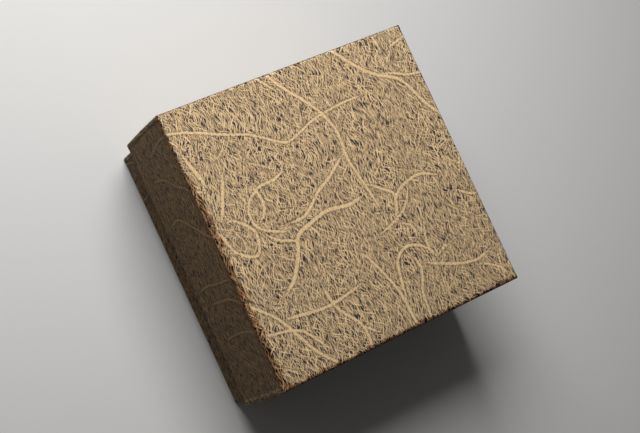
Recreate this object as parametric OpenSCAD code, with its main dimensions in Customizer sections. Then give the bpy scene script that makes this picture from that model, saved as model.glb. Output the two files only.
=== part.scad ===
// A rigid paper gift box for a bracelet: a tray, a lift-off lid that slides down over it, and a
// cushion inside. Tray and lid are each one folded greyboard blank, taped at the corners and
// covered with one sheet of printed paper.
// The origin is at the middle of the underside, +Z is up and -Y is the front.

/* [Closed box] */
// Width over the lid's paper, left to right
lid_w = 90; // [70:1:140]
// Depth over the lid's paper, front to back
lid_d = 90; // [70:1:140]
// Height of the closed box, from the bottom sheet to the lid's top
closed_h = 45; // [42:0.5:80]
// Height of the lid, from its top down to its lip
lid_h = 32.5; // [22:0.5:40]
// Running gap on each side between the lid's turned-in paper and the tray
fit_gap = 0.3; // [0.2:0.05:0.8]

/* [Board] */
// Thickness of the greyboard
board_t = 1.2; // [0.8:0.1:2]
// Slit between two walls of a folded board, at each corner
corner_slit = 0.2; // [0.1:0.05:0.4]

/* [Printed paper] */
// Thickness of the printed paper
paper_t = 0.15; // [0.1:0.01:0.3]
// Radius over the paper along the folded edges of the top and the bottom
edge_r = 1; // [0.7:0.1:2]
// Radius over the paper at the upright corners, where two walls meet
corner_r = 0.5; // [0.4:0.1:1.5]
// How far the lid's paper is turned up inside the lip
lid_turn_in = 15; // [5:1:20]
// How far the tray's paper is turned down inside the rim
tray_turn_in = 18; // [5:1:30]
// How far the tray's paper is turned under the bottom
turn_under = 12; // [6:1:25]

/* [Corner stays] */
// Thickness of the kraft tape, which beds into the board
stay_t = 0.1; // [0.08:0.01:0.2]
// Reach of the tape along each wall, from the corner
stay_leg = 12; // [6:1:20]
// Distance from the ends of the tape to the board's edges
stay_margin = 2; // [1:0.5:5]

/* [Bottom sheet] */
// Thickness of the plain paper under the bottom
sheet_t = 0.15; // [0.1:0.01:0.3]
// Distance from the tray's sides to the sheet's edge
sheet_margin = 3; // [2:0.5:5]

/* [Pillow] */
// Width of the pillow, left to right
pillow_w = 76; // [50:1:80]
// Depth of the pillow, front to back
pillow_d = 62; // [40:1:70]
// Height of the pillow's crown above its seam
pillow_crown = 20; // [10:1:24]
// Height of the pillow's seam above the tray's floor
pillow_seam_h = 14; // [8:1:16]
// Fall of the pillow's underside below its seam before the floor flattens it
pillow_belly = 18; // [16:1:24]
// Thickness of the pillow's edge at its seam
seam_t = 1; // [0.5:0.1:2]
// How far the pillow's sides draw in between its corners
pillow_pull = 2.5; // [0:0.5:5]

/* [Hidden] */
$fn = 48;

// Small overshoot that lets a cut pass clean through a face
past = 1;
// Radii over the board, under the paper
board_edge_r = edge_r - paper_t;
board_corner_r = corner_r - paper_t;

// Lid: the lip is its lowest line
lip_z = closed_h - lid_h;
lid_board_w = lid_w - 2 * paper_t;
lid_board_d = lid_d - 2 * paper_t;
lid_board_z = lip_z + paper_t;
lid_board_top = closed_h - paper_t;
lid_ceiling_z = lid_board_top - board_t;

// Tray: it stands inside the lid's turned-in paper, and the lid's ceiling rests on its rim
lid_wall_t = paper_t + board_t + paper_t;
tray_w = lid_w - 2 * (lid_wall_t + fit_gap);
tray_d = lid_d - 2 * (lid_wall_t + fit_gap);
rim_z = lid_ceiling_z;
tray_board_w = tray_w - 2 * paper_t;
tray_board_d = tray_d - 2 * paper_t;
tray_board_z = sheet_t + paper_t;
tray_board_top = rim_z - paper_t;
floor_z = tray_board_z + board_t;

// Pillow: number of steps across its surface each way, and how full its corners are
pillow_steps = 16;
pillow_fullness = 0.38;
pillow_seam_z = floor_z + pillow_seam_h;

// A flat rectangle with round corners
module round_rect(w, d, r) {
    square([w - 2 * r, d], center = true);
    square([w, d - 2 * r], center = true);
    for (x = [-1, 1], y = [-1, 1])
        translate([x * (w / 2 - r), y * (d / 2 - r)])
            circle(r);
}

// Side view of a folded shell: square at its foot, with round upper corners
module shell_profile(w, h, r) {
    translate([-w / 2, 0])
        square([w, h - r]);
    translate([-w / 2 + r, 0])
        square([w - 2 * r, h]);
    for (x = [-1, 1])
        translate([x * (w / 2 - r), h - r])
            circle(r);
}

// A block that stands on Z = 0 with round upright corners and a round upper edge, whose rounds
// meet in a mitre as folded board does
module fold_block(w, d, h, fold_r, upright_r) {
    intersection() {
        linear_extrude(h)
            round_rect(w, d, upright_r);
        rotate([90, 0, 0])
            linear_extrude(d + 2 * past, center = true)
                shell_profile(w, h, fold_r);
        rotate([90, 0, 90])
            linear_extrude(w + 2 * past, center = true)
                shell_profile(d, h, fold_r);
    }
}

// The same block upside down, with the round edge below and its top at Z = h
module fold_block_down(w, d, h, fold_r, upright_r) {
    translate([0, 0, h])
        mirror([0, 0, 1])
            fold_block(w, d, h, fold_r, upright_r);
}

// An upright tube of rectangular section with square corners
module square_ring(w, d, t, h) {
    linear_extrude(h)
        difference() {
            square([w, d], center = true);
            square([w - 2 * t, d - 2 * t], center = true);
        }
}

// Slits beside the left and right walls, where they meet the front and back walls
module corner_slits(w, d, z, h) {
    for (x = [-1, 1], y = [-1, 1])
        translate([x * (w / 2 - board_t / 2), y * (d / 2 - board_t - corner_slit / 2), z + h / 2])
            cube([board_t + 2 * past, corner_slit, h], center = true);
}

// Tape bent round one upright corner of a board, flush with the board's faces
module corner_stay(w, d, z, h, side_x, side_y) {
    color("#b48a58")
        intersection() {
            translate([0, 0, z])
                linear_extrude(h)
                    difference() {
                        round_rect(w, d, board_corner_r);
                        round_rect(w - 2 * stay_t, d - 2 * stay_t, board_corner_r - stay_t);
                    }
            translate([side_x * (w / 2 - stay_leg / 2), side_y * (d / 2 - stay_leg / 2), z + h / 2])
                cube([stay_leg, stay_leg, h], center = true);
        }
}

module lid_stay(side_x, side_y) {
    z = lid_board_z + stay_margin;
    h = lid_board_top - board_edge_r - stay_margin - z;
    corner_stay(lid_board_w, lid_board_d, z, h, side_x, side_y);
}

module tray_stay(side_x, side_y) {
    z = tray_board_z + board_edge_r + stay_margin;
    h = tray_board_top - stay_margin - z;
    corner_stay(tray_board_w, tray_board_d, z, h, side_x, side_y);
}

// The outer form of the lid's board, which its paper lies on
module lid_board_form() {
    translate([0, 0, lid_board_z])
        fold_block(lid_board_w, lid_board_d, lid_board_top - lid_board_z, board_edge_r, board_corner_r);
}

// The outer form of the tray's board
module tray_board_form() {
    h = tray_board_top - tray_board_z;
    translate([0, 0, tray_board_z])
        fold_block_down(tray_board_w, tray_board_d, h, board_edge_r, board_corner_r);
}

module lid_board() {
    wall_h = lid_ceiling_z - lid_board_z;
    color("#8f8a80")
        difference() {
            lid_board_form();
            translate([0, 0, lid_board_z - past])
                linear_extrude(wall_h + past)
                    square([lid_board_w - 2 * board_t, lid_board_d - 2 * board_t], center = true);
            corner_slits(lid_board_w, lid_board_d, lid_board_z - past, wall_h + past);
            for (x = [-1, 1], y = [-1, 1])
                lid_stay(x, y);
        }
}

module base_board() {
    color("#8f8a80")
        difference() {
            tray_board_form();
            translate([0, 0, floor_z])
                linear_extrude(tray_board_top - floor_z + past)
                    square([tray_board_w - 2 * board_t, tray_board_d - 2 * board_t], center = true);
            corner_slits(tray_board_w, tray_board_d, floor_z, tray_board_top - floor_z + past);
            for (x = [-1, 1], y = [-1, 1])
                tray_stay(x, y);
        }
}

// One sheet over the top and walls, round the lip and up inside it
module lid_wrap() {
    inside_w = lid_board_w - 2 * board_t;
    inside_d = lid_board_d - 2 * board_t;
    color("#a08058") {
        difference() {
            translate([0, 0, lip_z])
                fold_block(lid_w, lid_d, lid_h, edge_r, corner_r);
            lid_board_form();
            translate([0, 0, lip_z - past])
                linear_extrude(paper_t + 2 * past)
                    square([inside_w, inside_d], center = true);
        }
        translate([0, 0, lip_z])
            square_ring(inside_w, inside_d, paper_t, lid_turn_in);
    }
}

// One sheet round the walls, over the rim and down inside it, and turned under the bottom
module base_wrap() {
    inside_w = tray_board_w - 2 * board_t;
    inside_d = tray_board_d - 2 * board_t;
    color("#8a6a48") {
        difference() {
            translate([0, 0, sheet_t])
                fold_block_down(tray_w, tray_d, rim_z - sheet_t, edge_r, corner_r);
            tray_board_form();
            translate([0, 0, tray_board_top - past])
                linear_extrude(paper_t + 2 * past)
                    square([inside_w, inside_d], center = true);
            translate([0, 0, sheet_t - past])
                linear_extrude(paper_t + 2 * past)
                    square([tray_w - 2 * turn_under, tray_d - 2 * turn_under], center = true);
        }
        translate([0, 0, rim_z - tray_turn_in])
            square_ring(inside_w, inside_d, paper_t, tray_turn_in);
    }
}

module base_bottom_sheet() {
    color("#242120")
        linear_extrude(sheet_t)
            square([tray_w - 2 * sheet_margin, tray_d - 2 * sheet_margin], center = true);
}

// Share of the full rise or fall at a place on the pillow, 0 at the seam and 1 in the middle
function swell(u, v) = pow(max(0, (1 - u * u) * (1 - v * v)), pillow_fullness);

// A point of the pillow: u and v run from -1 to 1, and its sides draw in between the corners
function pillow_point(u, v, z) = [
    u * (pillow_w / 2 - pillow_pull * (1 - v * v)),
    v * (pillow_d / 2 - pillow_pull * (1 - u * u)),
    z
];
function upper_z(u, v) = pillow_seam_z + seam_t / 2 + (pillow_crown - seam_t / 2) * swell(u, v);
function lower_z(u, v) = max(floor_z, pillow_seam_z - seam_t / 2 - pillow_belly * swell(u, v));

// A cushion with a seam round its edge, its underside flattened by the tray's floor
module pillow() {
    n = pillow_steps;
    side = n + 1;
    count = side * side;
    grid = [for (i = [0 : n], j = [0 : n]) [2 * i / n - 1, 2 * j / n - 1]];
    upper = [for (g = grid) pillow_point(g[0], g[1], upper_z(g[0], g[1]))];
    lower = [for (g = grid) pillow_point(g[0], g[1], lower_z(g[0], g[1]))];
    upper_faces = [for (i = [0 : n - 1], j = [0 : n - 1])
        each let (a = i * side + j, b = a + side) [[a, a + 1, b + 1], [a, b + 1, b]]];
    lower_faces = [for (f = upper_faces) [f[2] + count, f[1] + count, f[0] + count]];
    left = [for (j = [0 : n]) j];
    back = [for (i = [1 : n]) i * side + n];
    right = [for (j = [1 : n]) n * side + n - j];
    front = [for (i = [1 : n - 1]) (n - i) * side];
    rim = concat(left, back, right, front);
    rim_faces = [for (k = [0 : len(rim) - 1])
        each let (a = rim[k], b = rim[(k + 1) % len(rim)])
            [[a, a + count, b + count], [a, b + count, b]]];
    color("#e8dfcf")
        polyhedron(points = concat(upper, lower), faces = concat(upper_faces, lower_faces, rim_faces));
}

lid_board();
lid_wrap();
lid_stay(-1, -1);  // lid_stay_front_left
lid_stay(1, -1);  // lid_stay_front_right
lid_stay(-1, 1);  // lid_stay_back_left
lid_stay(1, 1);  // lid_stay_back_right
base_board();
base_wrap();
base_bottom_sheet();
tray_stay(-1, -1);  // base_stay_front_left
tray_stay(1, -1);  // base_stay_front_right
tray_stay(-1, 1);  // base_stay_back_left
tray_stay(1, 1);  // base_stay_back_right
pillow();
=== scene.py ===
# %% [markdown]
# # A bracelet gift box: printed paper over greyboard
# The imported model holds the box as it is built: boards, papers, corner tapes and a pillow, each in its
# place. This lesson gives those pieces the surfaces that the eye sees. It starts by loading the packed
# pieces, because every new surface takes its size and place from them, and it keeps the box that they
# fill.

# %% Load the imported box
import math

import bmesh
import bpy
import numpy as np
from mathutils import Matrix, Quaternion, Vector


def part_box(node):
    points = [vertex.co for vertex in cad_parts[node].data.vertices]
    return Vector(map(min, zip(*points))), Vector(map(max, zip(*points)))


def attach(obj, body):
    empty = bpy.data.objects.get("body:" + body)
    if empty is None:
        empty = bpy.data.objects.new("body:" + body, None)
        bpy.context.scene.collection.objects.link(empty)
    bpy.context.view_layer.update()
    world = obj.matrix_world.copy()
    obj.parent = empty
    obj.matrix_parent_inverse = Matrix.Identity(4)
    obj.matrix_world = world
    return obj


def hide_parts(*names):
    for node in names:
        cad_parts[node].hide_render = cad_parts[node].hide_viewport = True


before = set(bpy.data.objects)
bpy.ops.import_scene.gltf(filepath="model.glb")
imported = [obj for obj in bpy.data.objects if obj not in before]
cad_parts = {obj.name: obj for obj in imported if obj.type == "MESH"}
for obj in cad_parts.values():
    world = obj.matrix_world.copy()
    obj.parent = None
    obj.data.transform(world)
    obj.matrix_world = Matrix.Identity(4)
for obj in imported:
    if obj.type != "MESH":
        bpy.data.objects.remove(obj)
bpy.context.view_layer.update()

# %% [markdown]
# ## Sizes
# Millimetres are easier to think in than metres for something this small, so the lesson works in
# millimetres and turns each finished mesh to metres in one place. The outer sizes are read from the
# imported nodes. Only what a node's box can't say is given here: the board's thickness, how far the
# paper turns in, and how sharply it folds.

# %% Read the sizes from the frame
MM = 0.001


def box_mm(node):
    """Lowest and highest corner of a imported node, in millimetres."""
    low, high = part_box(node)
    return np.array(low) / MM, np.array(high) / MM


lid_low, lid_high = box_mm("lid_wrap")
tray_low, tray_high = box_mm("base_wrap")
pillow_low, pillow_high = box_mm("pillow")

lid_half, lid_lip, lid_top = lid_high[0], lid_low[2], lid_high[2]
tray_half, tray_bottom, tray_rim = tray_high[0], tray_low[2], tray_high[2]
paper_t = lid_top - box_mm("lid_board")[1][2]

board_t = 1.2
fold_r = 1.0
corner_r = 0.5
lip_r = 0.3
lid_turn_in = 15.0
tray_turn_in = 18.0
turn_under = 12.0
print("lid half width %.2f, tray half width %.2f, paper %.2f mm" % (lid_half, tray_half, paper_t))

# %% [markdown]
# ## Camera
# The photograph looks down at the closed box at about 63 degrees, and the camera was rolled, so the box
# stands askew in the frame. The place, aim, roll and lens below come from fitting a camera to the box's
# seen corners. A target point and a roll angle are used instead of a rotation matrix, because they can
# be read and changed.

# %% Set up the camera
camera_eye = Vector((24.6, -210.5, 443.0))
camera_target = Vector((0.5, 1.1, 22.5))
camera_roll = math.radians(59.2)
camera_lens = 82.6

camera_data = bpy.data.cameras.new("camera")
camera_data.lens = camera_lens
camera_data.sensor_width = 36.0
camera_data.clip_start = 0.01
camera = bpy.data.objects.new("camera", camera_data)
bpy.context.scene.collection.objects.link(camera)
camera.location = camera_eye * MM
camera.rotation_mode = "QUATERNION"
aim = (camera_target - camera_eye).to_track_quat("-Z", "Y")
camera.rotation_quaternion = aim @ Quaternion((0, 0, 1), camera_roll)
bpy.context.scene.camera = camera
print("camera distance %.0f mm" % (camera_target - camera_eye).length)

# %% [markdown]
# ## Nodes and colours
# Every material below is built from nodes. One function adds a node, sets its properties and its
# sockets, and links what comes from other nodes. Colours are written as sRGB hex, as a designer picks
# them on a screen, and one function turns them to the linear numbers that Blender works with.

# %% Helpers for materials
def linear(hex_colour):
    """sRGB hex to linear RGBA: below 0.04045 the curve is a line, above it is a power of 2.4."""
    srgb = np.array([int(hex_colour[i:i + 2], 16) for i in (1, 3, 5)]) / 255
    return (*np.where(srgb <= 0.04045, srgb / 12.92, ((srgb + 0.055) / 1.055) ** 2.4), 1.0)


def put(tree, kind, sockets=None, **settings):
    """Adds one shader node. settings are its properties; sockets feeds its inputs with values or with
    outputs."""
    node = tree.nodes.new("ShaderNode" + kind)
    for name, value in settings.items():
        setattr(node, name, value)
    for name, value in (sockets or {}).items():
        if isinstance(value, bpy.types.NodeSocket):
            tree.links.new(value, node.inputs[name])
        else:
            node.inputs[name].default_value = value
    return node


def new_material(name):
    """A material with an empty node tree and an output, and that output's surface socket."""
    material = bpy.data.materials.new(name)
    material.use_nodes = True
    tree = material.node_tree
    tree.nodes.clear()
    return material, tree, tree.nodes.new("ShaderNodeOutputMaterial").inputs["Surface"]


def mix_colour(tree, share, first, second):
    """A colour that goes from first to second as share goes from 0 to 1."""
    return put(tree, "Mix", {"Factor": share, 6: first, 7: second}, data_type="RGBA").outputs[2]


def arithmetic(tree, operation, *values, clamp=False):
    """One Math node on up to three values."""
    return put(tree, "Math", dict(enumerate(values)), operation=operation, use_clamp=clamp).outputs[0]


def ramp(tree, value, low, high, start=0.0, end=1.0):
    """A smooth step from start to end while value goes from low to high."""
    sockets = {"Value": value, "From Min": low, "From Max": high, "To Min": start, "To Max": end}
    return put(tree, "MapRange", sockets, interpolation_type="SMOOTHSTEP").outputs["Result"]


def in_millimetres(tree):
    """The piece's own coordinates, in millimetres."""
    place = put(tree, "TexCoord").outputs["Object"]
    return put(tree, "VectorMath", {0: place, "Scale": 1 / MM}, operation="SCALE").outputs[0]


# %% [markdown]
# ## Studio
# The box stands on a plain pale floor under soft light. One large area lamp stands to the left and high
# up, close enough that the lid's top is lighter at the left than at the right, as in the photograph. A
# weak lamp far off at the front left keeps the front wall from going black, and a faint world fills the
# shadows. Camera rays see the pale floor, and so do glossy rays, but for light that bounces off it onto
# the box the floor is grey: the front wall stays as dark as it is in the photograph, and the floor keeps
# the shadow.

# %% Floor
floor_colour = "#E4E3E1"
floor_bounce_colour = "#1C1C1E"
floor_size = 6.0

floor_mesh = bpy.data.meshes.new("floor")
floor_corners = np.array([[-1, -1], [1, -1], [1, 1], [-1, 1]]) * floor_size / 2
floor_mesh.from_pydata([(x, y, 0.0) for x, y in floor_corners], [], [(0, 1, 2, 3)])
floor = bpy.data.objects.new("floor", floor_mesh)
bpy.context.scene.collection.objects.link(floor)

floor_paint, tree, surface = new_material("studio_floor_matt_card")
rays = put(tree, "LightPath")
seen = arithmetic(tree, "MAXIMUM", rays.outputs["Is Camera Ray"], rays.outputs["Is Glossy Ray"])
seen = arithmetic(tree, "MAXIMUM", seen, rays.outputs["Is Transmission Ray"])
card = mix_colour(tree, seen, linear(floor_bounce_colour), linear(floor_colour))
tree.links.new(put(tree, "BsdfDiffuse", {"Color": card}).outputs[0], surface)
floor_mesh.materials.append(floor_paint)
print("floor", floor_colour, "seen,", floor_bounce_colour, "for bounced light")

# %% Lamps and world
lamp_target = (0, 0, 30)
world_strength = 0.05


def area_lamp(name, place, size, watts):
    """A square area lamp at place, turned to shine on lamp_target; places and size in millimetres."""
    data = bpy.data.lights.new(name, "AREA")
    data.size = size * MM
    data.energy = watts
    lamp = bpy.data.objects.new(name, data)
    lamp.location = Vector(place) * MM
    lamp.rotation_euler = (Vector(lamp_target) - Vector(place)).to_track_quat("-Z", "Y").to_euler()
    bpy.context.scene.collection.objects.link(lamp)
    print(name, "at", place, "mm,", watts, "W")


area_lamp("key_lamp", place=(-210, -20, 280), size=220, watts=1.14)
area_lamp("fill_lamp", place=(-300, -600, 700), size=500, watts=0.11)

world = bpy.data.worlds.new("studio_air")
world.use_nodes = True
world.node_tree.nodes["Background"].inputs["Color"].default_value = (1, 1, 1, 1)
world.node_tree.nodes["Background"].inputs["Strength"].default_value = world_strength
bpy.context.scene.world = world
bpy.context.scene.view_settings.view_transform = "Standard"

# %% [markdown]
# ## The printed design
# The paper is a common vein pattern: long raised veins like those of a leaf or a leather, over a ground
# of short fibre strokes. The veins are drawn here, on the flat sheet as it came off the printing press:
# the lid's top is the square from -45 to 45 mm, and each wall lies beyond its edge, as on a blank before
# it is folded. A vein is a few given points, joined by a smooth curve, with a width that thins
# out towards its ends. The strokes of the ground are too many to draw, so they are left to the paper's
# material.

# %% Veins of the sheet
# Each vein is its width in millimetres and the points that it runs through, on the unfolded sheet.
VEINS = [
    (1.3, [(-80, -33), (-70, -24), (-62, -16.5), (-52, -11), (-44.5, -6.5), (-39.5, -3.5), (-30.5, 3.5),
           (-23, 7), (-18.5, 7.5), (-11, 7), (-2, 8.5), (7.5, 10)]),
    (1.1, [(-60, -19), (-52, -14), (-44.5, -10), (-38, -5)]),
    (1.4, [(-76, -6), (-64, 4), (-54, 10), (-44.5, 18), (-37, 24), (-32.5, 29), (-28, 36.5), (-21, 40),
           (-15.5, 43), (-8, 50), (-3, 60), (-1, 72)]),
    (1.1, [(-32.5, 30.5), (-30.5, 36), (-28.5, 41), (-28.5, 50), (-33, 62)]),
    (1.1, [(-45, 64), (-42, 53), (-40.5, 43), (-38.5, 35.5)]),
    (1.1, [(-68, 29), (-55, 31), (-45, 33.5), (-37, 34.5)]),
    (1.1, [(-28, 20.5), (-28, 13), (-26.5, 2), (-24.5, -4), (-23, -9.5), (-25, -13.5), (-29.5, -20.5),
           (-32.5, -28.5), (-36, -36.5), (-38, -43), (-38.5, -52), (-36, -64)]),
    (1.2, [(-15.5, -14), (-14, -19.5), (-13.5, -25), (-9.5, -30.5), (-3.5, -31), (0, -27), (2.5, -21)]),
    (1.3, [(-15, -27), (-12.5, -26), (-8.5, -25.5), (-5.5, -27), (-3, -30)]),
    (1.3, [(-13.5, 6.5), (-8.5, -1), (-5.5, -7), (-1.5, -12.5), (0, -16), (0, -22)]),
    (1.6, [(1, 6.5), (2, 0.5), (1, -7), (2.5, -14), (4.5, -19.5), (10, -22.5), (16, -27), (19.5, -32)]),
    (1.3, [(6, -20), (4.5, -23.5), (3.5, -26), (0, -29.5)]),
    (1.3, [(-7.5, -39.5), (-7, -36.5), (-2, -32), (3.5, -33), (5, -35.5), (1.5, -40.5), (-4.5, -42.5),
           (-6, -47), (-11, -55), (-15.5, -63.5), (-15, -72)]),
    (1.5, [(-22, -33.5), (-15.5, -36.5), (-9, -40), (-8, -41.5)]),
    (1.7, [(-31, -43), (-27, -42), (-23.5, -41), (-19, -40)]),
    (1.2, [(-18, -41), (-20, -45), (-22.5, -49.5), (-24, -53.5), (-28, -60), (-30, -70)]),
    (1.3, [(4.5, 34), (2, 28), (3, 21), (6, 16.5), (11, 14)]),
    (1.1, [(3, 23), (8.5, 19), (12, 14), (14.5, 5)]),
    (1.3, [(11.5, 14), (8.5, 15.5), (4.5, 16.5), (2, 14), (-1.5, 9.5)]),
    (1.3, [(21, 17.5), (19.5, 17.5), (16, 17.5), (13.5, 14)]),
    (1.1, [(15, 22.5), (18.5, 21), (22, 20), (25, 20), (29, 21.5)]),
    (1.1, [(28, 21), (26, 24.5), (23, 28)]),
    (1.1, [(13, 9), (15.5, 10.5), (19, 11)]),
    (1.1, [(13, 15.5), (16, 14.5), (19.5, 13.5)]),
    (1.1, [(33, 19), (37.5, 18), (41, 18)]),
    (1.3, [(26.5, 20), (23.5, 18.5), (21, 13), (23.5, 8), (29.5, 6), (36, 5)]),
    (1.3, [(68, 12), (56, 6), (43.5, 4.5), (32, 3.5), (21, -0.5), (16.5, -3)]),
    (1.2, [(32.5, 40.5), (34, 34), (33, 28), (30.5, 21.5), (28, 16)]),
    (1.1, [(64, 34), (52, 37), (43.5, 40), (36, 41.5), (32, 41.5)]),
    (1.1, [(44.5, 43), (39.5, 40.5), (36, 35), (36, 32)]),
    (1.2, [(66, 2), (54, 7), (43.5, 10), (36, 11), (29.5, 14), (23, 13)]),
    (1.3, [(25.5, -7), (27, -15), (27.5, -21.5), (26.5, -29.5), (25.5, -35.5)]),
    (1.3, [(72, -20), (58, -14), (43.5, -12.5), (36.5, -13), (29, -18), (20.5, -19.5)]),
    (1.3, [(41.5, -8), (37, -13)]),
    (1.3, [(64, -6), (52, -17), (43, -26), (36.5, -31), (25.5, -36.5), (19.5, -42), (15, -48), (13, -54),
           (12.5, -60), (12, -68)]),
    (1.1, [(39.5, -25.5), (31.5, -31), (29, -36), (28, -41.5), (25.5, -46), (24, -52), (23.5, -60),
           (24, -70)]),
    (1.1, [(-6, 54), (-2, 48), (2, 44), (9, 40.5)]),
    (1.1, [(19, 64), (16, 52), (14.5, 43), (11.5, 38), (11, 35.5)]),
    (1.2, [(-3, 43.5), (-0.5, 40)]),
    (0.7, [(24, 33), (26, 26), (27.5, 21.5)]),
    (1.1, [(8, -46), (7.5, -54.5), (7, -60), (6.5, -64), (7, -74)]),
    (1.1, [(-78, 20), (-68, 25), (-60, 22), (-54, 14), (-50, 6)]),
    (1.1, [(49, 29), (58, 24), (66, 25), (78, 20)]),
    (1.1, [(48, -38), (58, -34), (66, -38), (80, -36)]),
    (1.2, [(-22, 80), (-15, 68), (-17, 58), (-12, 49)]),
    (1.1, [(30, 78), (27, 65), (31, 56), (37, 48)]),
]
# A vein thins over vein_fade millimetres to vein_end_share of its width. vein_boldness scales all widths.
vein_fade = 4.5
vein_end_share = 0.4
vein_boldness = 0.8


def smooth_line(points, steps=6):
    """Catmull-Rom curve: through each point, with a slope there that is half the step between its
    neighbours."""
    p = np.array(points, float)
    p = np.vstack([2 * p[0] - p[1], p, 2 * p[-1] - p[-2]])
    t = np.linspace(0, 1, steps, endpoint=False)[:, None, None]
    a, b, c, d = p[:-3], p[1:-2], p[2:-1], p[3:]
    squared, cubed = 2 * a - 5 * b + 4 * c - d, 3 * b - a - 3 * c + d
    curve = 0.5 * (2 * b + (c - a) * t + squared * t ** 2 + cubed * t ** 3)
    return np.vstack([curve.transpose(1, 0, 2).reshape(-1, 2), p[-2]])


def vein_level(places, reach=3.0):
    """Half a vein's width less the distance to its middle line, in millimetres, for the nearest vein:
    above zero inside a vein and below zero outside, down to -reach. The half width falls to a share of
    itself at the ends."""
    level = np.full(len(places), -reach)
    for width, points in VEINS:
        line = smooth_line(points)
        near = np.flatnonzero(((places > line.min(0) - reach) & (places < line.max(0) + reach)).all(1))
        if not len(near):
            continue
        start, step = line[:-1], np.diff(line, axis=0)
        length = np.linalg.norm(step, axis=1)
        middle = np.cumsum(length) - length / 2
        to_end = np.minimum(middle, length.sum() - middle)
        fullness = vein_end_share + (1 - vein_end_share) * np.clip(to_end / vein_fade, 0, 1)
        half = width * vein_boldness / 2 * fullness
        offset = places[near][:, None] - start
        along = np.clip((offset * step).sum(2) / length ** 2, 0, 1)
        distance = np.linalg.norm(offset - along[..., None] * step, axis=2)
        level[near] = np.maximum(level[near], (half - distance).max(1))
    return level


print(len(VEINS), "veins from", sum(len(points) for _, points in VEINS), "points")

# %% [markdown]
# ## Folded paper as rings round a square
# A box maker cuts a sheet to a cross, glues the board on it, folds the walls up, and turns the paper
# round the edges. Seen in section, the paper is one line: over the fold, down the wall, round the lip
# and up inside. So the surface here is that section carried round a square. A row is one point of the
# section, and a column is one place along the square. Each row knows how far it is from the middle of
# the flat sheet, and that distance with the place along the wall gives every corner of every face its
# spot on the print, so the design runs over the folds unbroken, as on the real lid. At the upright
# corners the side walls' paper laps round onto the front and the back by a millimetre and a half, and
# the front's and the back's own paper starts there.

# %% Sections
def run(start, end, normal, steps, corner=(corner_r, corner_r)):
    """A straight stretch of a section. Columns: distance out from the middle, height, the normal's
    outward and upward share, and the radius of the upright corner at that row."""
    t = np.linspace(0, 1, steps + 1)[:, None]
    place = np.array(start) + t * (np.array(end) - np.array(start))
    return np.hstack([place, np.tile(normal, (steps + 1, 1)), corner[0] + t * (corner[1] - corner[0])])


def bowed(start, end, bow, steps):
    """A wall that bows out between start and end: bow times the sine of half a turn, and its slope's
    normal."""
    rows = run(start, end, (1, 0), steps)
    t = np.linspace(0, 1, steps + 1)
    slope = bow * np.pi / (end[1] - start[1]) * np.cos(np.pi * t)
    rows[:, 0] += bow * np.sin(np.pi * t)
    rows[:, 3] = -slope
    return rows


def arc(centre, radius, start, end, steps, corner=(corner_r, corner_r)):
    """A round stretch of a section. The angle is 0 straight up and 90 degrees outwards."""
    angle = np.radians(np.linspace(start, end, steps + 1))[:, None]
    normal = np.hstack([np.sin(angle), np.cos(angle)])
    t = np.linspace(0, 1, steps + 1)[:, None]
    return np.hstack([np.array(centre) + radius * normal, normal, corner[0] + t * (corner[1] - corner[0])])


def join(*parts):
    """Sections end to end; where one starts at the place that the last one ended at, that row is kept
    once."""
    rows = [parts[0]]
    for part in parts[1:]:
        same = np.allclose(part[0, :2], rows[-1][-1, :2], atol=1e-6)
        rows.append(part[1:] if same else part)
    return np.vstack(rows)


# %% Columns round the square
lap = 1.5
lap_edge = 0.06
columns_a_side = 168

lap_at = (lid_half - lap) / (lid_half - corner_r)
lap_edge_at = lap_edge / lid_half
straight = np.concatenate([
    [-1, -(1 + lap_at) / 2, -lap_at - lap_edge_at],
    np.linspace(-lap_at + lap_edge_at, lap_at - lap_edge_at, columns_a_side),
    [lap_at + lap_edge_at, (1 + lap_at) / 2, 1],
])
corner_turn = np.radians([22.5, 45, 67.5])
share = np.concatenate([straight, np.ones(len(corner_turn))])
turn = np.concatenate([np.zeros(len(straight)), corner_turn])
side_columns = len(share)
ring_columns = 4 * side_columns
side = np.repeat(np.arange(4), side_columns)
share, turn = np.tile(share, 4), np.tile(turn, 4)
next_share = np.roll(share, -1)

# The front (side 0) and the back (side 2) own the faces between their laps; the side walls own all the rest.
owner = side.copy()
on_face = (side % 2 == 0)
owner[on_face & (share > lap_at - lap_edge_at / 2)] += 1
owner[on_face & (next_share < -lap_at + lap_edge_at / 2) & (turn == 0)] -= 1
print(ring_columns, "columns round the square")


def ring_places(section):
    """Places, normals and length round the square for every row and column: straight stretches of the
    square's sides, and quarter circles of the row's own corner radius between them."""
    out, height, n_out, n_up, corner = (section[:, k, None] for k in range(5))
    flat = out - corner
    along = flat * share + corner * np.sin(turn)
    outward = flat + corner * np.cos(turn)
    c, s = np.round(np.cos(side * np.pi / 2)), np.round(np.sin(side * np.pi / 2))
    n_along, n_outward = n_out * np.sin(turn), n_out * np.cos(turn)
    place = np.stack([along * c + outward * s, along * s - outward * c, height + 0 * along], 2)
    normal = np.stack([n_along * c + n_outward * s, n_along * s - n_outward * c, n_up + 0 * along], 2)
    quarter = 2 * flat + corner * np.pi / 2
    return place, normal, flat * share + corner * turn + side * quarter, quarter


def sheet_places(length, quarter, distance, whose):
    """Where a place lies on the flat sheet: its length along its wall from that wall's middle, and its
    distance from the sheet's middle, turned by 90 degrees for each wall."""
    along = length - whose * quarter
    c, s = np.round(np.cos(whose * np.pi / 2)), np.round(np.sin(whose * np.pi / 2))
    return np.stack([along * c + distance * s, along * s - distance * c], -1)


# %% [markdown]
# ## Relief
# The veins stand a few hundredths of a millimetre proud, because the sheet was embossed after printing,
# and a glued sheet is never quite flat. Both are small moves along the normal. They fade out towards the
# upright corners, where two walls' prints meet, so that the rows of both walls end at the same place.

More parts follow.
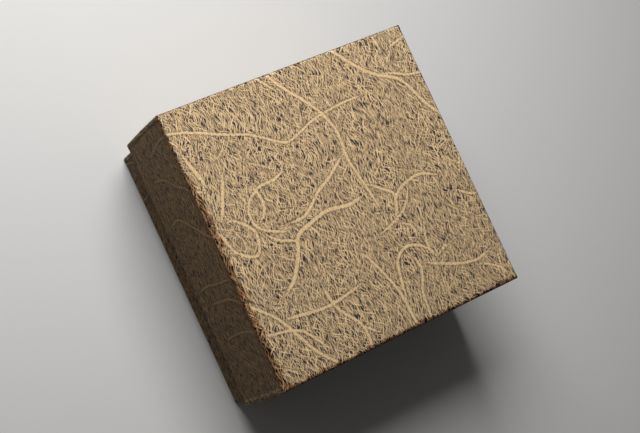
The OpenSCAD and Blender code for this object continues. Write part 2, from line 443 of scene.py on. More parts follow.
# %% Relief of the sheet
emboss_height = 0.04
emboss_slope = 0.35
cockle_height = 0.04
lap_height = 0.09
relief_margin = (3.5, 1.8)
tip_wear = 0.6
tip_reach = 1.2
fold_slant = 0.4
weld_distance = 1e-6


def fade(value, low, high):
    """Smooth step: 0 below low, 1 above high, and 3t² - 2t³ between."""
    t = np.clip((value - low) / (high - low), 0, 1)
    return t * t * (3 - 2 * t)


def relief(sheet):
    """Height of the sheet over its board: the embossed veins, and three shallow sine waves of the glued
    paper, 30 to 40 mm long across u, across v and along the diagonal."""
    u, v = sheet[..., 0], sheet[..., 1]
    level = vein_level(sheet.reshape(-1, 2)).reshape(u.shape)
    waves = np.sin(0.21 * u + 0.4 * np.sin(0.1 * v)) + np.sin(0.17 * v - 1.3) + np.sin(0.12 * (u - v) + 0.6)
    raised = emboss_height * fade(level, -emboss_slope, emboss_slope) + cockle_height * waves / 3
    to_corner = np.minimum(np.abs(u), np.abs(v))
    return raised * (1 - fade(to_corner, *(lid_half - m for m in relief_margin)))


# %% Build a folded sheet
def fold_gaps(section, distance, along, quarter):
    """How far each place is from the nearest fold, in millimetres: the lesser of the distances to a row
    whose normal slants, which is on a fold, and to the upright corner. Near both at once, at a corner's
    tip, it goes below zero, as much as a tip wears more."""
    slanted = np.abs(np.abs(section[:, 2]) - np.abs(section[:, 3])) < fold_slant
    to_row = np.abs(distance[:, :1] - distance[slanted, :1].T).min(1)[:, None]
    to_corner = np.abs(np.abs(along) - quarter / 2)
    return np.minimum(to_row, to_corner) - tip_wear * np.exp(-np.hypot(to_row, to_corner) / tip_reach)


def paper_piece(name, section, distance, printed_rows, body, shift=0.0, cover=None, closed=False):
    """A folded sheet as one closed mesh. section's first printed_rows rows are the printed face, the
    rest is the glued back. distance is each row's distance from the sheet's middle, and shift moves the
    print towards that middle, so that another sheet shows another part of the design. cover is the first
    row's height, if a flat top closes the sheet there; a closed section joins its last row to its first
    instead."""
    place, normal, length, quarter = ring_places(section)
    distance = np.asarray(distance)[:, None] + 0 * length
    rows = len(section)
    printed = (np.arange(rows) < printed_rows)[:, None]
    own = sheet_places(length, quarter, distance - shift, side)
    lap_rise = lap_height * ((side % 2 == 0) & (np.abs(share) > lap_at) | (turn > 0))
    fold_share = np.clip(np.abs(section[:, 2]), 0, 1)[:, None]
    height = np.where(printed, relief(own) + lap_rise * fold_share, 0)
    place = place + normal * height[..., None]
    gaps = fold_gaps(section, distance, length - side * quarter, quarter).ravel()

    first = np.arange(rows if closed else rows - 1)[:, None]
    below = (first + 1) % rows
    left = np.arange(ring_columns)[None]
    right = (left + 1) % ring_columns
    faces = np.stack(np.broadcast_arrays(
        first * ring_columns + left, below * ring_columns + left,
        below * ring_columns + right, first * ring_columns + right), 2)

    def corner_sheet(row, column, wraps):
        """The sheet's spot at one corner of each face, by the wall that owns the face."""
        here = length[row, column] + wraps * 4 * quarter[row, 0]
        return sheet_places(here, quarter[row, 0], distance[row, column] - shift, owner[None])

    wraps = (left == ring_columns - 1)
    sheet = np.stack([corner_sheet(first, left, 0), corner_sheet(below, left, 0),
                      corner_sheet(below, right, wraps), corner_sheet(first, right, wraps)], 2)
    back = np.broadcast_to((first >= printed_rows - (0 if closed else 1)), faces.shape[:2])
    points, polygons = place.reshape(-1, 3), faces.reshape(-1, 4).tolist()
    sheets, backs = sheet.reshape(-1, 2), back.ravel()

    if cover is not None:
        across = straight * section[0, 0]
        x, y = np.meshgrid(across, across)
        flat = np.stack([x, y], 2)
        top = np.dstack([flat, cover + relief(flat)]).reshape(-1, 3)
        n = len(across)
        i, j = np.meshgrid(np.arange(n - 1), np.arange(n - 1), indexing="ij")
        cells = np.stack([i * n + j, i * n + j + 1, (i + 1) * n + j + 1, (i + 1) * n + j], 2).reshape(-1, 4)
        polygons += (cells + len(points)).tolist()
        sheets = np.vstack([sheets, flat.reshape(-1, 2)[cells].reshape(-1, 2)])
        under = ((rows - 1) * ring_columns + np.arange(ring_columns))[::-1]
        polygons.append(under.tolist())
        sheets = np.vstack([sheets, points[under, :2]])
        backs = np.concatenate([backs, np.zeros(len(cells), bool), [True]])
        points = np.vstack([points, top])
        to_fold = fold_r * np.pi / 4 + section[0, 0] - np.abs(flat)
        tips = tip_wear * np.exp(-np.hypot(to_fold[..., 0], to_fold[..., 1]) / tip_reach)
        gaps = np.concatenate([gaps, (to_fold.min(2) - tips).ravel()])

    mesh = bpy.data.meshes.new(name)
    mesh.from_pydata((points * MM).tolist(), [], polygons)
    mesh.uv_layers.new(name="sheet").data.foreach_set("uv", sheets.ravel())
    mesh.attributes.new("vein", "FLOAT", "CORNER").data.foreach_set("value", vein_level(sheets))
    mesh.attributes.new("fold_gap", "FLOAT", "POINT").data.foreach_set("value", gaps)
    mesh.polygons.foreach_set("material_index", backs.astype(np.int32))
    mesh.polygons.foreach_set("use_smooth", np.ones(len(polygons), bool))
    weld = bmesh.new()
    weld.from_mesh(mesh)
    bmesh.ops.remove_doubles(weld, verts=weld.verts, dist=weld_distance)
    volume = weld.calc_volume(signed=True) / MM ** 3
    open_edges = sum(not e.is_manifold for e in weld.edges)
    weld.to_mesh(mesh)
    weld.free()
    piece = bpy.data.objects.new(name, mesh)
    bpy.context.scene.collection.objects.link(piece)
    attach(piece, body)
    mesh.calc_loop_triangles()
    print("%s: %d triangles, paper volume %.0f mm3, open edges %d" % (
        name, len(mesh.loop_triangles), volume, open_edges))
    return piece


# %% [markdown]
# ## The lid's paper
# One sheet covers the lid: flat over the top, over a one-millimetre fold, down the wall, round the lip
# and 15 mm up inside. The fold's corner radius grows from nothing at the flat top to half a millimetre
# on the wall, which gives the pinched corners of a hand-wrapped box. The wall bows out by an eighth of a
# millimetre between its two edges, because the drying glue pulls the paper and the board bends with it.
# The glued back has few rows, since no one sees it.

# %% Make the lid's paper
wall_bow = 0.12
# Radii of the upright corners: at the lip, on the turned edge, inside the box and on the glued back.
lip_corner, edge_corner, inner_corner, back_corner = 0.3, 0.2, 0.1, 0.35
lid_in = lid_half - 2 * paper_t - board_t
lid_printed = join(
    arc((lid_half - fold_r, lid_top - fold_r), fold_r, 0, 90, 5, (0, corner_r)),
    bowed((lid_half, lid_top - fold_r), (lid_half, lid_lip + lip_r), wall_bow, 54),
    arc((lid_half - lip_r, lid_lip + lip_r), lip_r, 90, 180, 3, (corner_r, lip_corner)),
    run((lid_half - lip_r, lid_lip), (lid_in + lip_r, lid_lip), (0, -1), 1, (lip_corner, edge_corner)),
    arc((lid_in + lip_r, lid_lip + lip_r), lip_r, 180, 270, 3, (edge_corner, inner_corner)),
    run((lid_in, lid_lip + lip_r), (lid_in, lid_lip + lid_turn_in), (-1, 0), 9, (inner_corner, inner_corner)),
)
lid_glued = join(
    run((lid_in + paper_t, lid_lip + lid_turn_in), (lid_in + paper_t, lid_lip + paper_t), (1, 0), 1,
        (inner_corner, inner_corner)),
    run((lid_half - paper_t, lid_lip + paper_t), (lid_half - paper_t, lid_top - fold_r), (-1, 0), 1,
        (back_corner, back_corner)),
    arc((lid_half - fold_r, lid_top - fold_r), fold_r - paper_t, 90, 0, 2, (back_corner, edge_corner)),
)


def distances(printed, glued, start, outwards=True):
    """Each row's distance from the sheet's middle: start plus the length along the section. The glued
    rows take the printed row nearest to them."""
    length = np.concatenate([[0], np.cumsum(np.linalg.norm(np.diff(printed[:, :2], axis=0), axis=1))])
    length = length if outwards else length[-1] - length
    nearest = np.linalg.norm(glued[:, None, :2] - printed[None, :, :2], axis=2).argmin(1)
    return start + np.concatenate([length, length[nearest]])


lid_paper = paper_piece(
    "lid_paper_wrap", np.vstack([lid_printed, lid_glued]),
    distances(lid_printed, lid_glued, lid_half - fold_r), len(lid_printed), "lid", cover=lid_top)
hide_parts("lid_wrap")

# %% [markdown]
# ## The tray's paper
# The tray's sheet has no top: it starts inside, 18 mm below the rim, goes up and over the rim, down the
# wall, and is turned 12 mm under the bottom. Its section is a closed line, so the surface is a closed
# ring. It was cut from the same printed stock, so it shows the same design, shifted by one repeat.

# %% Make the tray's paper
print_repeat = 90.0
tray_in = tray_half - 2 * paper_t - board_t
tray_printed = join(
    run((tray_in, tray_rim - tray_turn_in), (tray_in, tray_rim - lip_r), (-1, 0), 16,
        (inner_corner, inner_corner)),
    arc((tray_in + lip_r, tray_rim - lip_r), lip_r, -90, 0, 3, (inner_corner, edge_corner)),
    run((tray_in + lip_r, tray_rim), (tray_half - lip_r, tray_rim), (0, 1), 1, (edge_corner, lip_corner)),
    arc((tray_half - lip_r, tray_rim - lip_r), lip_r, 0, 90, 3, (lip_corner, corner_r)),
    run((tray_half, tray_rim - lip_r), (tray_half, tray_bottom + lip_r), (1, 0), 74),
    arc((tray_half - lip_r, tray_bottom + lip_r), lip_r, 90, 180, 3, (corner_r, edge_corner)),
    run((tray_half - lip_r, tray_bottom), (tray_half - turn_under, tray_bottom), (0, -1), 12,
        (edge_corner, inner_corner)),
)
tray_glued = join(
    run((tray_half - turn_under, tray_bottom + paper_t), (tray_half - paper_t, tray_bottom + paper_t),
        (0, 1), 1, (inner_corner, lip_corner)),
    run((tray_half - paper_t, tray_rim - paper_t), (tray_in + paper_t, tray_rim - paper_t), (0, -1), 1,
        (lip_corner, inner_corner)),
    run((tray_in + paper_t, tray_rim - tray_turn_in), (tray_in + paper_t, tray_rim - tray_turn_in), (1, 0), 0,
        (inner_corner, inner_corner)),
)
tray_paper = paper_piece(
    "tray_paper_wrap", np.vstack([tray_printed, tray_glued]),
    distances(tray_printed, tray_glued, tray_half - turn_under, outwards=False), len(tray_printed), "base",
    shift=print_repeat, closed=True)
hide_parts("base_wrap")

# %% [markdown]
# ## Printed paper
# The stock is a matt black paper. On it lies a bronze ink with metal flakes in it. The ground of the
# design looks like chopped straw strewn over the sheet: most straws keep near one slant, others cross
# them, and dark slits show between them. Each layer of straws comes from a Voronoi texture, which strews
# points over the sheet. The sheet is first turned to the layer's slant and squeezed along it, so that
# each point gets a long cell, and the distance to the cell's point, measured in straw lengths and straw
# widths, gives a ridge. Three layers are close and fine, and two are sparse and long. A wide noise and a
# narrower one bend the whole ground, and the veins lie on top, a little mottled, as ink is on embossed
# paper. Just beside each vein fewer straws are drawn, so that a thin dark line runs along it. Along the
# folds the ink turns paler, partly rubbed and partly a painted highlight, and at the tips of the corners
# the paper's fibres show. Just over the edge of the top's folds lies a ragged band of painted shade, most
# of all in front and at the right: the stock is darker there and the straws thinner, with a painted
# copper glint on part of it. On the walls the ink is painted redder, a painted sheen of light grazing
# the flakes, most of all just under the fold. The real straws are a quarter of a millimetre wide, too
# fine for the picture, so they are drawn a little coarser.

# %% Ink and paper
ink_colour = "#F6D6A6"
ink_deep_colour = "#BF9A6C"
stock_colour = "#3A3B43"
# Pale ink of the worn folds, partly wear and partly a painted highlight.
worn_ink_and_highlight_colour = "#FBE6C0"
# Copper of the painted sheen on the walls and of the painted glint in the edge shade.
copper_sheen_and_glint_colour = "#D2935A"
# Dark stock of the painted shade just over the top's folds.
edge_shade_colour = "#1E1A1A"
fibre_colour = "#E8DFCF"
# Size of a bend and how far it may push the sheet, in millimetres.
BENDS = [(20.0, 9.0), (6.0, 2.0)]
# Slant in degrees, how far a straw may differ from it, shift of the layer, cell and straw in millimetres.
STRAWS = [
    (-24, 14, 0, (2.8, 0.44), (4.2, 0.28)),
    (4, 14, 110, (2.8, 0.52), (4.2, 0.28)),
    (42, 20, 330, (3.0, 1.0), (4.2, 0.3)),
    (-14, 32, 550, (5.0, 2.0), (7.0, 0.4)),
    (30, 38, 770, (5.0, 2.0), (7.0, 0.4)),
]
straw_scatter = 0.75
cross_shift = 0.3
weakest_straw = 0.4
# Size of each noise in millimetres. The ragged one moves the edges of veins, of the worn folds with their
# painted highlight, and of the painted edge shade.
ragged_size, mottle_size, wander_size = 0.55, 0.8, 3.0
vein_raggedness, wear_and_highlight_raggedness, wander_reach = 1.3, 3.2, 3.0
# Raggedness and start of the band of painted shade just over the top's folds.
edge_shade_raggedness, edge_shade_end_raggedness = 1.2, 2.0
edge_shade_start = 1.9
# Each soft mask: the values between which it goes from 0 to 1, or from a third number to a fourth. Places,
# heights and distances are in millimetres.
MASKS = {
    "vein": (-0.06, 0.1),
    "fewer straws beside a vein": (-0.4, -0.12, 1.0, 0.55),
    "mottle on a vein": (0.35, 0.65, 0.35, 0.9),
    "straw": (0.17, 0.26),
    "full tone of a straw": (0.15, 0.6),
    # Straws thinned in the painted shade over the top's folds:
    "straw left in the painted edge shade": (0.32, 0.45),
    # Worn folds, partly wear and partly a painted highlight:
    "worn fold with painted highlight": (0.8, 0.0),
    "frayed tip": (-1.1, -1.3),
    "front edge of the top": (-41.5, -42.5, 0.0, 1.8),
    "right of the front's left end": (-34, -14),
    "right edge of the top": (42.0, 43.0, 0.0, 0.9),
    # Band of painted shade just over the top's folds, most along the front and right edges:
    "start of the painted edge shade": (-0.3, 0.3),
    "end of the painted edge shade": (2.4, 1.6),
    "near a fold": (3.0, 2.4),
    # Painted copper glint in the edge shade:
    "painted copper glint in the edge shade": (0.35, 0.6, 0.25, 1.0),
    "on a wall": (0.8, 0.3),
    # Painted copper sheen on the walls, strongest just under the top:
    "painted sheen under the top": (42.0, 43.5, 0.3, 0.8),
    "deeper relief at a fold": (2.5, 0.5, 1.0, 1.6),
}
# Strength of the worn folds' pale ink, partly a painted highlight, and the flake shares off and on those
# folds.
wear_and_highlight_strength = 0.7
flake_share, worn_and_highlight_flake_share = 0.04, 0.1
vein_relief = 0.5
print(len(STRAWS), "layers of straws,", len(MASKS), "masks")


def noise(tree, place, size, detail=1.0, output="Fac"):
    """Noise whose lumps are about size millimetres wide."""
    return put(tree, "TexNoise", {"Vector": place, "Scale": 1 / size, "Detail": detail}).outputs[output]


def straw_layer(tree, sheet, slant, jitter, shift, cell, straw):
    """One straw for each cell: 1 along the middle of a strong one, and 0 beyond its outline. Each cell's
    own random colour gives its straw's lean and its strength."""
    squeeze = (1 / cell[0], 1 / cell[1], 0)
    turned = put(tree, "Mapping", {"Vector": sheet, "Location": (shift, cross_shift * shift, 0),
                                   "Rotation": (0, 0, math.radians(-slant))}).outputs[0]
    cells = put(tree, "VectorMath", {0: turned, 1: squeeze}, operation="MULTIPLY").outputs[0]
    strewn = put(tree, "TexVoronoi", {"Vector": cells, "Scale": 1.0, "Randomness": straw_scatter},
                 voronoi_dimensions="2D").outputs
    own = put(tree, "SeparateXYZ", {0: strewn["Color"]}).outputs
    offset = put(tree, "VectorMath", {0: cells, 1: strewn["Position"]}, operation="SUBTRACT").outputs[0]
    offset = put(tree, "VectorMath", {0: offset, 1: (*cell, 0)}, operation="MULTIPLY").outputs[0]
    lean = arithmetic(tree, "MULTIPLY_ADD", own[0], math.radians(-2 * jitter), math.radians(jitter))
    offset = put(tree, "VectorRotate", {"Vector": offset, "Angle": lean}, rotation_type="Z_AXIS").outputs[0]
    shape = (2 / straw[0], 2 / straw[1], 0)
    offset = put(tree, "VectorMath", {0: offset, 1: shape}, operation="MULTIPLY").outputs[0]
    away = put(tree, "VectorMath", {0: offset}, operation="LENGTH").outputs["Value"]
    ridge = arithmetic(tree, "SUBTRACT", 1.0, away, clamp=True)
    strength = arithmetic(tree, "MULTIPLY_ADD", own[1], 1 - weakest_straw, weakest_straw)
    return arithmetic(tree, "MULTIPLY", ridge, strength)


def printed_paper(name):
    """Black paper printed in bronze ink: straws, veins, frayed tips, worn folds with a painted highlight,
    painted shade over the top's edges, and a painted copper sheen and glint.
    """
    material, tree, surface = new_material(name)
    sheet = put(tree, "UVMap", uv_map="sheet").outputs["UV"]
    vein = put(tree, "Attribute", attribute_name="vein").outputs["Fac"]
    fold_gap = put(tree, "Attribute", attribute_name="fold_gap").outputs["Fac"]
    upward = put(tree, "SeparateXYZ", {0: put(tree, "TexCoord").outputs["Normal"]}).outputs[2]
    place = put(tree, "SeparateXYZ", {0: in_millimetres(tree)}).outputs
    across, back, height = place

    def mask(value, kind):
        """The soft mask of that kind over value."""
        return ramp(tree, value, *MASKS[kind])

    # How far over the top's edge a place is: 0 in the middle of the fold, less on the top, more on the wall.
    outward = arithmetic(tree, "ABSOLUTE", across)
    outward = arithmetic(tree, "MAXIMUM", outward, arithmetic(tree, "ABSOLUTE", back))
    over_fold = arithmetic(tree, "SUBTRACT", outward, height)

    bent = sheet
    for size, reach in BENDS:
        bend = put(tree, "VectorMath", {0: noise(tree, bent, size, output="Color"), "Scale": reach},
                   operation="SCALE").outputs[0]
        bent = put(tree, "VectorMath", {0: bent, 1: bend}, operation="ADD").outputs[0]
    ground = straw_layer(tree, bent, *STRAWS[0])
    for layer in STRAWS[1:]:
        ground = arithmetic(tree, "MAXIMUM", ground, straw_layer(tree, bent, *layer))

    # The noises are about a half on average, so half their reach is taken off.
    ragged = noise(tree, sheet, ragged_size, 2.0)
    level = arithmetic(tree, "SUBTRACT", vein, vein_raggedness / 2)
    level = arithmetic(tree, "MULTIPLY_ADD", ragged, vein_raggedness, level)
    veined = mask(level, "vein")
    # Fewer straws are drawn just beside each vein, so that a thin dark line runs along it.
    inked = arithmetic(tree, "MULTIPLY", mask(ground, "straw"), mask(level, "fewer straws beside a vein"))
    inked = arithmetic(tree, "MAXIMUM", inked, veined)
    mottle = mask(noise(tree, sheet, mottle_size, 2.0), "mottle on a vein")
    vein_tone = arithmetic(tree, "MULTIPLY", veined, mottle)
    bright = arithmetic(tree, "MAXIMUM", mask(ground, "full tone of a straw"), vein_tone)

    # Worn folds: the ink turns paler along them, partly wear and partly a painted highlight; far into the
    # tips the paper's fibres show.
    wear_and_highlight_line = arithmetic(tree, "SUBTRACT", fold_gap, wear_and_highlight_raggedness / 2)
    wear_and_highlight_line = arithmetic(tree, "MULTIPLY_ADD", ragged, wear_and_highlight_raggedness, wear_and_highlight_line)
    worn_and_highlighted = mask(wear_and_highlight_line, "worn fold with painted highlight")
    # Painted shade: a ragged band just over the top's folds, most of all along the front edge and the right
    # edge, where the stock is darker and the straws thinner.
    shaded_edge_share = arithmetic(tree, "MULTIPLY", mask(back, "front edge of the top"),
                         mask(across, "right of the front's left end"))
    shaded_edge_share = arithmetic(tree, "ADD", shaded_edge_share, mask(across, "right edge of the top"))
    wander = arithmetic(tree, "MULTIPLY_ADD", noise(tree, sheet, wander_size), wander_reach,
                        arithmetic(tree, "SUBTRACT", shaded_edge_share, edge_shade_start))
    edge_shade_line = arithmetic(tree, "MULTIPLY_ADD", ragged, edge_shade_raggedness,
                            arithmetic(tree, "ADD", over_fold, wander))
    edge_shade_end = arithmetic(tree, "MULTIPLY_ADD", ragged, edge_shade_end_raggedness, over_fold)
    painted_edge_shade = arithmetic(tree, "MULTIPLY", mask(edge_shade_line, "start of the painted edge shade"),
                         mask(edge_shade_end, "end of the painted edge shade"))
    painted_edge_shade = arithmetic(tree, "MULTIPLY", painted_edge_shade, mask(fold_gap, "near a fold"))
    on_wall = mask(arithmetic(tree, "ABSOLUTE", upward), "on a wall")
    # Painted sheen: the ink on every wall is tinted copper, most of all just under the top's fold, for light
    # grazing the flakes.
    painted_wall_sheen = arithmetic(tree, "MULTIPLY", mask(height, "painted sheen under the top"), on_wall)

    ink = mix_colour(tree, bright, linear(ink_deep_colour), linear(ink_colour))
    ink = mix_colour(tree, arithmetic(tree, "MULTIPLY", worn_and_highlighted, wear_and_highlight_strength), ink, linear(worn_ink_and_highlight_colour))
    ink = mix_colour(tree, painted_wall_sheen, ink, linear(copper_sheen_and_glint_colour))
    # Painted glint: copper flakes in part of the painted edge shade.
    painted_copper_glint = arithmetic(tree, "MULTIPLY", painted_edge_shade, mask(ragged, "painted copper glint in the edge shade"))
    ink = mix_colour(tree, painted_copper_glint, ink, linear(copper_sheen_and_glint_colour))
    # Painted shade in that band: darker stock and thinner straws.
    stock = mix_colour(tree, painted_edge_shade, linear(stock_colour), linear(edge_shade_colour))
    left_over = arithmetic(tree, "SUBTRACT", mask(ground, "straw left in the painted edge shade"), inked)
    inked = arithmetic(tree, "MULTIPLY_ADD", painted_edge_shade, left_over, inked)
    colour = mix_colour(tree, inked, stock, ink)
    colour = mix_colour(tree, mask(wear_and_highlight_line, "frayed tip"), colour, linear(fibre_colour))
    flakes = arithmetic(tree, "MULTIPLY_ADD", worn_and_highlighted, worn_and_highlight_flake_share, flake_share)
    metal = arithmetic(tree, "MULTIPLY", inked, flakes)
    relief_map = arithmetic(tree, "MAXIMUM", ground, arithmetic(tree, "MULTIPLY", veined, vein_relief))
    relief_map = arithmetic(tree, "MULTIPLY", relief_map, mask(fold_gap, "deeper relief at a fold"))
    bump = put(tree, "Bump", {"Height": relief_map, "Strength": 0.7, "Distance": 0.00012})
    paint = put(tree, "BsdfPrincipled", {"Base Color": colour, "Metallic": metal, "Roughness": 0.55,
                                         "Specular IOR Level": 0.05, "Normal": bump.outputs[0]})
    tree.links.new(paint.outputs[0], surface)
    return material


paper_back, tree, surface = new_material("unprinted_paper_back")
back_paint = put(tree, "BsdfPrincipled", {"Base Color": linear("#BDB4A6"), "Roughness": 0.9})
tree.links.new(back_paint.outputs[0], surface)
lid_print = printed_paper("lid_bronze_ink_on_black_paper")
tray_print = printed_paper("tray_bronze_ink_on_black_paper")
for piece, material in ((lid_paper, lid_print), (tray_paper, tray_print)):
    piece.data.materials.append(material)
    piece.data.materials.append(paper_back)

# %% [markdown]
# ## Board, tape and bottom paper
# Greyboard is pressed from waste paper: a matt grey-brown with fibres and flecks of old print in it. It
# shows on the inside of the lid and on the tray's floor. The corner tapes are ribbed kraft paper, and
# the sheet under the bottom is plain black paper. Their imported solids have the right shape, so they only
# get a finish, which reads Object coordinates turned to millimetres.

# %% Plain papers and board
def fibre_paper(name, base, fleck, pale, fibre_pitch, fibre_aspect, roughness, depth):
    """Uncoated pulp: drawn-out noise for its fibres, dark flecks and pale ones, and a soft tooth in the
    bump."""
    material, tree, surface = new_material(name)
    place = in_millimetres(tree)
    stretched = put(tree, "Mapping", {"Vector": place, "Scale": (1, fibre_aspect, fibre_aspect)}).outputs[0]
    fibres = put(tree, "TexNoise", {"Vector": stretched, "Scale": 1 / fibre_pitch, "Detail": 4.0,
                                    "Roughness": 0.65}).outputs["Fac"]
    flecks = put(tree, "TexNoise", {"Vector": place, "Scale": 1.1, "Detail": 2.0}).outputs["Fac"]
    colour = mix_colour(tree, ramp(tree, fibres, 0.35, 0.65), linear(base), linear(pale))
    colour = mix_colour(tree, ramp(tree, flecks, 0.66, 0.74), colour, linear(fleck))
    tooth = put(tree, "Bump", {"Height": fibres, "Strength": 0.5, "Distance": depth * MM}).outputs[0]
    paint = put(tree, "BsdfPrincipled", {"Base Color": colour, "Roughness": roughness, "Normal": tooth,
                                         "Specular IOR Level": 0.3})
    tree.links.new(paint.outputs[0], surface)
    return material


greyboard = fibre_paper("greyboard_pressed_pulp", "#8F8A80", "#56524C", "#A9A49A",
                        fibre_pitch=0.9, fibre_aspect=1.6, roughness=0.9, depth=0.06)
kraft = fibre_paper("kraft_gummed_tape", "#A67E4F", "#7C5A34", "#C19A69",
                    fibre_pitch=0.5, fibre_aspect=3.0, roughness=0.8, depth=0.04)
black_paper = fibre_paper("black_uncoated_paper", "#1E1D1D", "#141313", "#2B2A2A",
                          fibre_pitch=0.4, fibre_aspect=1.5, roughness=0.85, depth=0.04)
finishes = {"board": greyboard, "stay": kraft, "bottom_sheet": black_paper}
for node_name, node_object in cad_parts.items():
    for part, material in finishes.items():
        if part in node_name:
            node_object.data.materials.clear()
            node_object.data.materials.append(material)
            print(node_name, "is", material.name)

# %% [markdown]
# ## The pillow's cover
# A bracelet is clasped round a small velvet pillow: two pieces of velvet sewn together all round, turned
# and stuffed. Two square grids make them, one for the top and one for the bottom, that share their
# outline. The outline pulls in between the corners, as sewn fabric does, and each half bulges by a
# product of two arches. The cover is then simulated as cloth under pressure, held at its seam and cut a
# little too large, so that it puckers where the seam holds it back. It is simulated at ten times its
# size, because Blender's cloth is made for things as large as people, and it is brought back to size
# afterwards.

# %% Pillow cover before stuffing
pillow_w = (pillow_high - pillow_low)[0]
pillow_d = (pillow_high - pillow_low)[1]
pillow_floor = pillow_low[2]
pillow_top = pillow_high[2]
seam_z = 15.5
pull_in = 2.5
stuffing_room = 1.6
piping_room = 1.0
floor_room = 0.3
top_fullness, bottom_fullness = 0.6, 0.8
# The grid's lines crowd towards the seam, as the sine of a quarter turn times this does.
crowding = 0.92
cover_cells = 56


def pillow_cover(cells):
    """Two grids over u and v from -1 to 1. Outline: half width less pull_in times one less the square of
    the place along the side. Height: the crown times (1 - u^4)(1 - v^4) to the power of top_fullness, up
    from the seam, and the same again to the power of bottom_fullness, down from it."""
    t = np.sin(np.linspace(-1, 1, cells + 1) * np.pi / 2 * crowding) / np.sin(np.pi / 2 * crowding)
    u, v = np.meshgrid(t, t)
    x = u * (pillow_w / 2 - piping_room - pull_in * (1 - v ** 2))
    y = v * (pillow_d / 2 - piping_room - pull_in * (1 - u ** 2))
    arch = ((1 - u ** 4) * (1 - v ** 4)) ** top_fullness
    up = seam_z + (pillow_top - stuffing_room - seam_z) * arch
    down = seam_z - (seam_z - pillow_floor - floor_room) * arch ** bottom_fullness
    return np.stack([x, y, up], 2), np.stack([x, y, down], 2)


cover_top, cover_bottom = pillow_cover(cover_cells)
n = cover_cells + 1
i, j = np.meshgrid(np.arange(cover_cells), np.arange(cover_cells), indexing="ij")
quads = np.stack([i * n + j, i * n + j + 1, (i + 1) * n + j + 1, (i + 1) * n + j], 2).reshape(-1, 4)
points = np.vstack([cover_top.reshape(-1, 3), cover_bottom.reshape(-1, 3)])
index = np.arange(2 * n * n)
edge = np.zeros((n, n), bool)
edge[[0, -1], :] = edge[:, [0, -1]] = True
index[n * n:][edge.ravel()] = np.arange(n * n)[edge.ravel()]
used, compact = np.unique(index, return_inverse=True)
quads = np.vstack([compact[quads], compact[quads[:, ::-1] + n * n]])
cover_rest = points[used]
on_seam = (used[:, None] == np.flatnonzero(edge.ravel())[None]).any(1)
print("cover", len(cover_rest), "points,", len(quads), "faces,", int(on_seam.sum()), "on the seam")

# %% Stuff the cover
cloth_scale = 10
cloth_frames = 20
cover_ease = 0.10
motion_cap = 3.0


def stuffed(rest, faces, held):
    """The cover after cloth_frames frames of pressure, each point moved by motion_cap at the most."""
    mesh = bpy.data.meshes.new("cover_trial")
    mesh.from_pydata((rest * MM * cloth_scale).tolist(), [], faces.tolist())
    trial = bpy.data.objects.new("cover_trial", mesh)
    scene = bpy.context.scene
    scene.collection.objects.link(trial)
    group = trial.vertex_groups.new(name="seam")
    group.add(np.flatnonzero(held).tolist(), 1.0, "REPLACE")
    cloth = trial.modifiers.new("cloth", "CLOTH")
    settings = cloth.settings
    settings.quality = 8
    settings.mass = 0.3
    settings.tension_stiffness = settings.compression_stiffness = 12
    settings.shear_stiffness = 4
    settings.bending_stiffness = 0.15
    settings.use_pressure = True
    settings.uniform_pressure_force = 4.0
    settings.shrink_min = -cover_ease
    settings.vertex_group_mass = "seam"
    settings.effector_weights.gravity = 0
    cloth.point_cache.frame_start, cloth.point_cache.frame_end = 1, cloth_frames
    for step in range(1, cloth_frames + 1):
        scene.frame_set(step)
    moved = np.zeros(len(rest) * 3)
    trial.evaluated_get(bpy.context.evaluated_depsgraph_get()).data.vertices.foreach_get("co", moved)
    scene.frame_set(1)
    bpy.data.objects.remove(trial)
    motion = moved.reshape(-1, 3) / (MM * cloth_scale) - rest
    size = np.linalg.norm(motion, axis=1, keepdims=True)
    print("cover moved %.1f mm on average, %.1f at most" % (size.mean(), size.max()))
    return rest + motion * np.minimum(1, motion_cap / np.maximum(size, 1e-9))


cover = stuffed(cover_rest, quads, on_seam)
cover[:, 2] = np.clip(cover[:, 2], pillow_floor + 0.05, pillow_top)
pillow_mesh = bpy.data.meshes.new("velvet_pillow")
pillow_mesh.from_pydata((cover * MM).tolist(), [], quads.tolist())
pillow_mesh.polygons.foreach_set("use_smooth", np.ones(len(quads), bool))
pillow = bpy.data.objects.new("velvet_pillow", pillow_mesh)
bpy.context.scene.collection.objects.link(pillow)
finer = pillow.modifiers.new("finer", "SUBSURF")
finer.levels = finer.render_levels = 1
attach(pillow, "base")
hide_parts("pillow")

# %% [markdown]
# ## Piping
# A thin covered cord is caught in the pillow's seam and hides the stitches. It is a circle carried along
# the seam's outline: the outline is the border of the cover's grid, walked once round, and the circle
# stands across it. The joined ends meet in one closed tube.

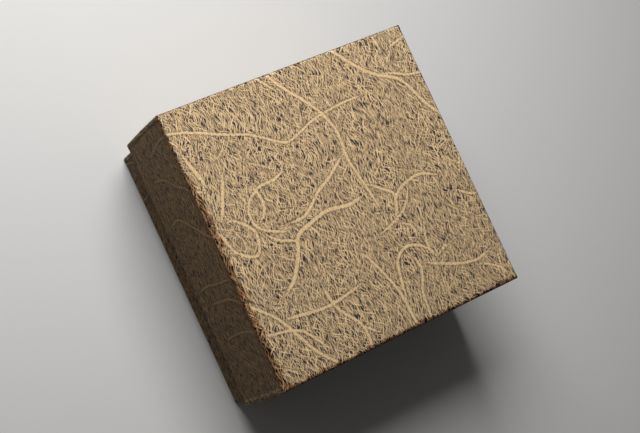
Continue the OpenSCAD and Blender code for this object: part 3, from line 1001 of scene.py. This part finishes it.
# %% Seam piping
piping_r = 0.8
piping_sides = 10
rows = np.arange(n * n).reshape(n, n)
walk = np.concatenate([rows[0, :-1], rows[:-1, -1], rows[-1, :0:-1], rows[:0:-1, 0]])
path = cover_top.reshape(-1, 3)[walk]
heading = np.roll(path, -1, axis=0) - np.roll(path, 1, axis=0)
heading /= np.linalg.norm(heading, axis=1, keepdims=True)
across = np.cross(heading, (0, 0, 1))
angle = np.linspace(0, 2 * np.pi, piping_sides, endpoint=False)[None, :, None]
tube = path[:, None] + piping_r * (np.cos(angle) * across[:, None] + np.sin(angle) * np.array([0, 0, 1.0]))
k = np.arange(len(path))[:, None]
m = np.arange(piping_sides)[None]
after, beside = (k + 1) % len(path), (m + 1) % piping_sides
tube_faces = np.stack(np.broadcast_arrays(
    k * piping_sides + m, after * piping_sides + m,
    after * piping_sides + beside, k * piping_sides + beside), 2)
piping_mesh = bpy.data.meshes.new("pillow_piping")
piping_mesh.from_pydata((tube.reshape(-1, 3) * MM).tolist(), [], tube_faces.reshape(-1, 4).tolist())
piping_mesh.polygons.foreach_set("use_smooth", np.ones(len(piping_mesh.polygons), bool))
piping = bpy.data.objects.new("pillow_piping", piping_mesh)
bpy.context.scene.collection.objects.link(piping)
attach(piping, "base")
probe = bmesh.new()
probe.from_mesh(piping_mesh)
piping_volume = probe.calc_volume(signed=True) / MM ** 3
probe.free()
print("piping", len(piping_mesh.polygons), "faces, volume %.0f mm3" % piping_volume)

# %% [markdown]
# ## Velvet
# Velvet has a short upright pile. It looks deeper where the eye looks straight into it and pale along
# its outline, which the sheen of the Principled shader gives. The pile is far finer than the picture can
# show, so its clumps are drawn about half a millimetre wide, with larger patches where the pile leans
# another way.

# %% Velvet finish
velvet, tree, surface = new_material("ivory_short_pile_velvet")
place = in_millimetres(tree)
pile = put(tree, "TexNoise", {"Vector": place, "Scale": 2.0, "Detail": 3.0}).outputs["Fac"]
brushed = put(tree, "TexNoise", {"Vector": place, "Scale": 0.09, "Detail": 2.0}).outputs["Fac"]
colour = mix_colour(tree, ramp(tree, pile, 0.3, 0.7), linear("#CFC3AF"), linear("#E6DDCD"))
colour = mix_colour(tree, ramp(tree, brushed, 0.42, 0.6, 0.0, 0.45), colour, linear("#BFB29C"))
nap = put(tree, "Bump", {"Height": pile, "Strength": 0.5, "Distance": 0.0002}).outputs[0]
paint = put(tree, "BsdfPrincipled", {"Base Color": colour, "Roughness": 0.9, "Sheen Weight": 0.5,
                                     "Sheen Roughness": 0.4, "Sheen Tint": linear("#FFF6E8"), "Normal": nap})
tree.links.new(paint.outputs[0], surface)
for piece in (pillow, piping):
    piece.data.materials.append(velvet)
